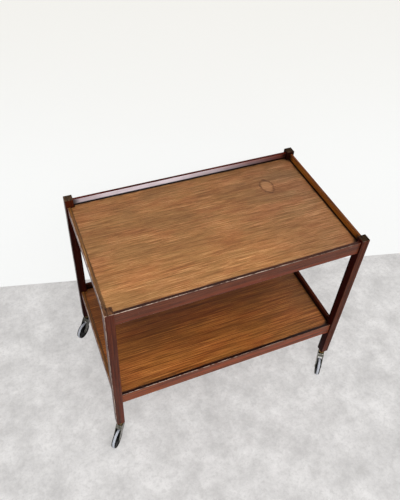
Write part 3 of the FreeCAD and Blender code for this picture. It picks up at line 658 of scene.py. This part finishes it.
def raw_wood(name, dark, light, pore):
    """Bare wood, which no lacquer covers. Cleats run both ways, so its grain is short."""
    material, finish, shader = new_material(name)
    figure = finish.effect(WOOD_FIGURE, Position=finish.position(), **RAW_GRAIN)
    colour = finish.ramp(figure["Streaks"], (0.3, dark), (0.75, light))
    finish.feed(shader.inputs["Base Color"], finish.overlaid(figure["Pores"], 0.6, colour, pore))
    finish.feed(shader.inputs["Roughness"], finish.spread(figure["Bands"], 0.3, 0.7, 0.6, 0.8))
    finish.feed(shader.inputs["Normal"], finish.bump(figure["Fibres"], 0.08 * MM, 0.7))
    return material


def aged_metal(name, seed, clean, dull_and_dark_reflection, darkening, roughness):
    """Metal with tarnish, which on the caster plate also stands for painted dark reflections, scuffs, and dirt near
    the floor.
    """
    material, finish, shader = new_material(name)
    appearance = finish.effect(METAL_AGE_AND_REFLECTION, Position=finish.position(), Seed=seed)
    colour = finish.overlaid(appearance["Tarnish and Reflection"], 0.9, clean, dull_and_dark_reflection)
    finish.feed(shader.inputs["Base Color"], finish.overlaid(appearance["Grime"], 0.6, colour, darkening))
    rough = finish.math("MULTIPLY_ADD", appearance["Tarnish and Reflection"], 0.18, roughness)
    finish.feed(shader.inputs["Roughness"], finish.math("MULTIPLY_ADD", appearance["Scuffs"], 0.15, rough))
    finish.feed(shader.inputs["Metallic"], finish.math("MULTIPLY_ADD", appearance["Grime"], -0.6, 1.0, clamp=True))
    finish.feed(shader.inputs["Normal"], finish.bump(appearance["Scuffs"], 0.02 * MM, 0.5))
    return material


def moulded(name, seed, clean, worn, dirt, roughness, shine):
    """Moulded plastic or rubber: a fine stipple, scuffs and floor dirt."""
    material, finish, shader = new_material(name)
    place = finish.position()
    appearance = finish.effect(METAL_AGE_AND_REFLECTION, Position=place, Seed=seed)
    colour = finish.overlaid(appearance["Scuffs"], 0.35, clean, worn)
    finish.feed(shader.inputs["Base Color"], finish.overlaid(appearance["Tarnish and Reflection"], 0.3, colour, dirt))
    finish.feed(shader.inputs["Roughness"], finish.math("MULTIPLY_ADD", appearance["Tarnish and Reflection"], 0.2, roughness))
    finish.feed(shader.inputs["Normal"], finish.bump(finish.noise(place, 2600.0, 2.0), 0.02 * MM, 0.6))
    shader.inputs["Specular IOR Level"].default_value = shine
    return material


def dress_frame():
    """Posts, rails, trays, cleats and fixings."""
    for seed, (node, appearance) in enumerate(FRAME_AGE_AND_PAINTED_LIGHT.items(), 1):
        grain = "Z" if node.endswith("post") else "Y" if "_end_" in node else "X"
        frame_wood(node, grain, float(seed), **appearance)
    for node, appearance in TRAY_VENEER_AND_PAINTED_LIGHT.items():
        veneer(node, **appearance)
    cleat = raw_wood("cleat_raw_wood", **CLEAT_WOOD)
    dowel = raw_wood("dowel_raw_wood", **DOWEL_WOOD)
    screw = aged_metal("screw_dull_steel", **SCREW_STEEL)
    for tier in TIERS:
        for side in ("front", "back", "left", "right"):
            dress(f"{tier}_{side}_cleat", cleat)
        dress(f"{tier}_rail_dowels", dowel)
        dress(f"{tier}_cleat_screws", screw)


# Turned caster pieces, in millimetres. A corner of a profile is a height along the axis, a radius, and how far its
# easing reaches. Half profiles are mirrored about the wheel's middle plane.
TURN_STEPS = 96
EASE_STEPS = 6
DOME_STEPS = 12
DOME_START = 0.06
SHARP_ANGLE = math.radians(40)
FORK_HALF, PIN_RADIUS, HEAD_RADIUS, HEAD_RISE = 10.45, 3.0, 5.0, 1.6
HUB_HALF = (
    (7.75, 3.06, 0.3), (7.75, 8.5, 1.0), (5.35, 9.1, 0.9), (5.35, 14.2, 0.4), (5.95, 15.1, 0.5), (5.35, 16.0, 0.4),
    (5.35, 22.6, 0.8), (6.75, 23.6, 0.7), (6.75, 28.4, 1.2), (3.85, 28.4, 0.15), (3.85, 22.0, 0.15),
)
TYRE_HALF = ((3.8, 22.05, 0.3), (3.8, 29.5, 1.5), (1.5, 30.0, 0.7))
SOCKET = (
    (78.0, 4.06, 0.2), (78.0, 7.3, 0.6), (79.6, 8.0, 0.5), (81.4, 8.0, 0.3), (81.9, 7.5, 0.25), (82.4, 8.0, 0.3),
    (85.6, 8.0, 0.6), (86.6, 8.9, 0.5), (87.6, 8.4, 0.3), (90.4, 9.9, 0.6), (91.6, 10.0, 0.4), (95.0, 10.0, 0.6),
    (95.0, 5.75, 0.1), (131.0, 5.75, 0.4), (131.0, 4.06, 0.2),
)


def eased(corners):
    """A closed profile with eased corners. Each corner gives way to a quadratic curve that starts and ends on its
    two sides, as far from it as its easing reaches, and is drawn towards the corner itself."""
    given = np.array(corners)
    tip, reach = given[:, :2], given[:, 2:]
    back, ahead = np.roll(tip, 1, axis=0) - tip, np.roll(tip, -1, axis=0) - tip
    start = tip + reach * back / np.linalg.norm(back, axis=1, keepdims=True)
    end = tip + reach * ahead / np.linalg.norm(ahead, axis=1, keepdims=True)
    share = np.linspace(0, 1, EASE_STEPS)[None, :, None]
    curve = (1 - share) ** 2 * start[:, None] + 2 * share * (1 - share) * tip[:, None] + share ** 2 * end[:, None]
    return curve.reshape(-1, 2) * MM


def mirrored(half):
    """A half profile and its reflection in the wheel's middle plane, as one closed run of corners."""
    return [(-height, radius, reach) for height, radius, reach in half] + list(reversed(half))


def rivet_profile():
    """A pin with a head at each end. Each head is a quarter ellipse: its height falls with the cosine of an angle
    and its radius grows with the sine, from just off the axis out to its rim."""
    angle = np.linspace(DOME_START, np.pi / 2, DOME_STEPS)
    dome = np.stack([FORK_HALF + HEAD_RISE * np.cos(angle), HEAD_RADIUS * np.sin(angle)], axis=1)
    shank = np.array([[FORK_HALF, PIN_RADIUS]])
    half = np.concatenate([dome, shank])
    return np.concatenate([half * (-1, 1), half[::-1]]) * MM


def turned_piece(name, centre, axis, profile, closed=True):
    """A profile carried round an axis: a point is the centre, plus its height times the axis, plus its radius times
    the direction at its angle. A profile that isn't closed ends in a point on the axis at each end."""
    axis = Vector(axis).normalized()
    side = axis.orthogonal().normalized()
    across = np.array(axis.cross(side))
    axis, side = np.array(axis), np.array(side)
    angle = np.linspace(0, 2 * np.pi, TURN_STEPS, endpoint=False)[:, None, None]
    outward = np.cos(angle) * side + np.sin(angle) * across
    points = np.array(centre) + profile[None, :, :1] * axis + profile[None, :, 1:] * outward
    points = points.reshape(-1, 3)
    count = len(profile)
    turn, step = np.meshgrid(np.arange(TURN_STEPS), np.arange(count if closed else count - 1), indexing="ij")
    this, following = turn * count, (turn + 1) % TURN_STEPS * count
    after = (step + 1) % count
    quads = np.stack([this + step, following + step, following + after, this + after], axis=-1)
    faces = quads.reshape(-1, 4).tolist()
    if not closed:
        poles = np.array(centre) + profile[[0, -1], :1] * axis
        rim = np.arange(TURN_STEPS) * count
        ahead = np.roll(rim, -1)
        first, last = np.full_like(rim, len(points)), np.full_like(rim, len(points) + 1)
        faces += np.stack([first, ahead, rim], axis=1).tolist()
        faces += np.stack([last, rim + count - 1, ahead + count - 1], axis=1).tolist()
        points = np.concatenate([points, poles])
    mesh = bpy.data.meshes.new(name)
    mesh.from_pydata(points.tolist(), [], faces)
    mesh.shade_smooth()
    mesh.set_sharp_from_angle(angle=SHARP_ANGLE)
    piece = bpy.data.objects.new(name, mesh)
    bpy.context.scene.collection.objects.link(piece)
    return piece


def fit(piece, body, node, material):
    """Puts a new piece in a node's place: it moves with the node's body, takes the material, and the node is
    hidden.
    """
    piece.data.materials.append(material)
    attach(piece, body)
    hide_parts(node)


def dress_casters():
    """Sockets, forks, axles, hubs and tyres of the four casters. Turned pieces take the place of the plain ones."""
    # Back casters take the darker copies, as painted shade.
    brass = {end: aged_metal(f"{end}_socket_brass", **look) for end, look in SOCKET_BRASS.items()}
    plate = {end: aged_metal(f"{end}_caster_plate", **look) for end, look in CASTER_PLATE.items()}
    black = moulded("wheel_black_plastic", **WHEEL_PLASTIC)
    tread = moulded("tyre_pale_rubber", **TYRE_RUBBER)
    joints = {joint["name"]: joint for joint in frame["record"]["behaviour"]["joints"]}
    for corner in CORNERS:
        end = corner.split("_")[0]
        for piece in ("washer", "stem", "fork"):
            dress(f"{corner}_caster_{piece}", plate[end])
        foot = joints[f"{corner}_swivel"]["pos_m"]
        spin = joints[f"{corner}_wheel_spin"]
        caster, wheel, hub = f"{corner}_caster", f"{corner}_wheel", spin["pos_m"]
        socket = turned_piece(f"{corner}_leg_socket", (foot[0], foot[1], 0), UP, eased(SOCKET))
        fit(socket, "frame", f"{caster}_socket", brass[end])
        pin = turned_piece(f"{corner}_axle_pin", hub, spin["axis"], rivet_profile(), closed=False)
        fit(pin, caster, f"{caster}_axle", plate[end])
        disc = turned_piece(f"{corner}_wheel_disc", hub, spin["axis"], eased(mirrored(HUB_HALF)))
        fit(disc, wheel, f"{wheel}_hub", black)
        band = turned_piece(f"{corner}_tyre_band", hub, spin["axis"], eased(mirrored(TYRE_HALF)))
        fit(band, wheel, f"{wheel}_tyre", tread)


# Stage: a pale floor, mottled near the trolley, and a pale wall whose foot runs between two points. The wall is
# nearly white at its foot, and a little warmer and darker higher up. Both show a share of their own plain colour.
BACKDROP = paint(246, 247, 245)
FLOOR_HALF = 30.0
FLOOR_DARK = paint(203, 201, 200)
FLOOR_LIGHT = paint(242, 240, 239)
FLOOR_SPECK = paint(196, 194, 192)
FLOOR_PLAIN = paint(222, 220, 218)
FLOOR_PLAIN_SHARE = 0.6
MOTTLE_FADE = (0.9, 2.4)
WALL_FOOT = (Vector((-0.648, 0.530, 0)), Vector((1.008, 0.134, 0)))
WALL_REACH = 5.0
WALL_HEIGHT = 4.0
WALL_LOW = paint(254, 255, 254)
WALL_HIGH = paint(240, 238, 232)
WALL_FADE = (0.4, 1.5)
WALL_PLAIN_SHARE = 0.88


def flat_piece(name, corners, material):
    """A staged flat: one four-sided face."""
    mesh = bpy.data.meshes.new(name)
    mesh.from_pydata([tuple(corner) for corner in corners], [], [(0, 1, 2, 3)])
    mesh.materials.append(material)
    flat = bpy.data.objects.new(name, mesh)
    bpy.context.scene.collection.objects.link(flat)


def looked_at(finish):
    """One where the camera, a gloss or a clear piece looks, and zero where light falls."""
    path = finish.node("ShaderNodeLightPath").outputs
    return finish.math("MAXIMUM", path["Is Camera Ray"],
                       finish.math("MAXIMUM", path["Is Glossy Ray"], path["Is Transmission Ray"]))


def mixed_shader(finish, share, first, second):
    """Mixes the shaders of two nodes."""
    made = finish.node("ShaderNodeMixShader")
    for socket, given in zip(made.inputs, (share, first.outputs[0], second.outputs[0])):
        finish.feed(socket, given)
    return made


def lifted(finish, shader, colour, share):
    """Shows a staged surface partly in its own plain colour where it is looked at, so that it stays pale and still
    takes the shadow of the trolley."""
    plain = finish.node("ShaderNodeEmission")
    finish.feed(plain.inputs["Color"], colour)
    return mixed_shader(finish, finish.math("MULTIPLY", looked_at(finish), share), shader, plain)


def clear_behind(material, finish, front):
    """Makes a staged surface clear from behind, so that it never hides the trolley."""
    behind = finish.node("ShaderNodeNewGeometry").outputs["Backfacing"]
    seen = mixed_shader(finish, behind, front, finish.node("ShaderNodeBsdfTransparent"))
    finish.feed(material.node_tree.nodes["Material Output"].inputs["Surface"], seen.outputs[0])


def floor_finish():
    """Pale warm grey, softly mottled near the trolley and plain farther out."""
    material, finish, shader = new_material("floor_pale_grey")
    place = finish.position()
    cloud = finish.noise(place, 8.0, 10.0, 0.78)
    speckle = finish.noise(place, 75.0, 5.0, 0.75)
    colour = finish.ramp(cloud, (0.36, FLOOR_DARK), (0.64, FLOOR_LIGHT))
    colour = finish.mix(finish.spread(speckle, 0.38, 0.52, 0.35, 0.0), colour, FLOOR_SPECK)
    away = finish.spread(finish.vector("LENGTH", place), *MOTTLE_FADE)
    colour = finish.mix(away, colour, FLOOR_PLAIN)
    finish.feed(shader.inputs["Base Color"], colour)
    shader.inputs["Roughness"].default_value = 0.8
    clear_behind(material, finish, lifted(finish, shader, colour, FLOOR_PLAIN_SHARE))
    return material


def wall_finish():
    """Near white, fading with height."""
    material, finish, shader = new_material("wall_near_white")
    shader.inputs["Base Color"].default_value = BACKDROP
    shader.inputs["Roughness"].default_value = 0.9
    height = finish.split(finish.position())[2]
    look = finish.mix(finish.spread(height, *WALL_FADE), WALL_LOW, WALL_HIGH)
    clear_behind(material, finish, lifted(finish, shader, look, WALL_PLAIN_SHARE))
    return material


def set_stage():
    """Floor and wall."""
    half = FLOOR_HALF
    flat_piece("floor", [(-half, -half, 0), (half, -half, 0), (half, half, 0), (-half, half, 0)], floor_finish())
    left, right = WALL_FOOT
    run = (right - left).normalized() * WALL_REACH
    up = UP * WALL_HEIGHT
    flat_piece("wall", [left - run, right + run, right + run + up, left - run + up], wall_finish())


def set_light():
    """An even surround, which the camera sees as the pale backdrop, and the soft panel."""
    scene = bpy.context.scene
    scene.world = bpy.data.worlds.new("surround")
    scene.world.use_nodes = True
    finish = Finish(scene.world.node_tree)
    background = scene.world.node_tree.nodes["Background"]
    surround = as_colour((SURROUND, SURROUND, SURROUND))
    finish.feed(background.inputs["Color"], finish.mix(looked_at(finish), surround, BACKDROP))
    lamp = bpy.data.lights.new("soft_panel", "AREA")
    lamp.shape = "RECTANGLE"
    lamp.size, lamp.size_y = PANEL_SIZE
    lamp.energy = PANEL_POWER
    panel = bpy.data.objects.new("soft_panel", lamp)
    facing = PANEL_DIRECTION.to_track_quat("Z", "Y").to_matrix().to_4x4()
    panel.matrix_world = Matrix.Translation(PANEL_AIM + PANEL_DIRECTION * PANEL_DISTANCE) @ facing
    scene.collection.objects.link(panel)


def set_camera():
    """The photograph's camera. Its level axes are turned about the line of sight by the roll."""
    data = bpy.data.cameras.new("camera")
    data.lens = LENS
    data.shift_x, data.shift_y = SHIFT
    sight = (AIM - EYE).normalized()
    level_right = sight.cross(UP).normalized()
    level_up = level_right.cross(sight)
    right = level_right * math.cos(ROLL) + level_up * math.sin(ROLL)
    up = right.cross(sight)
    camera = bpy.data.objects.new("camera", data)
    camera.matrix_world = Matrix.Translation(EYE) @ Matrix((right, up, -sight)).transposed().to_4x4()
    bpy.context.scene.collection.objects.link(camera)
    bpy.context.scene.camera = camera


dress_frame()
dress_casters()
set_stage()
set_light()
set_camera()
bpy.context.scene.view_settings.view_transform = "Standard"
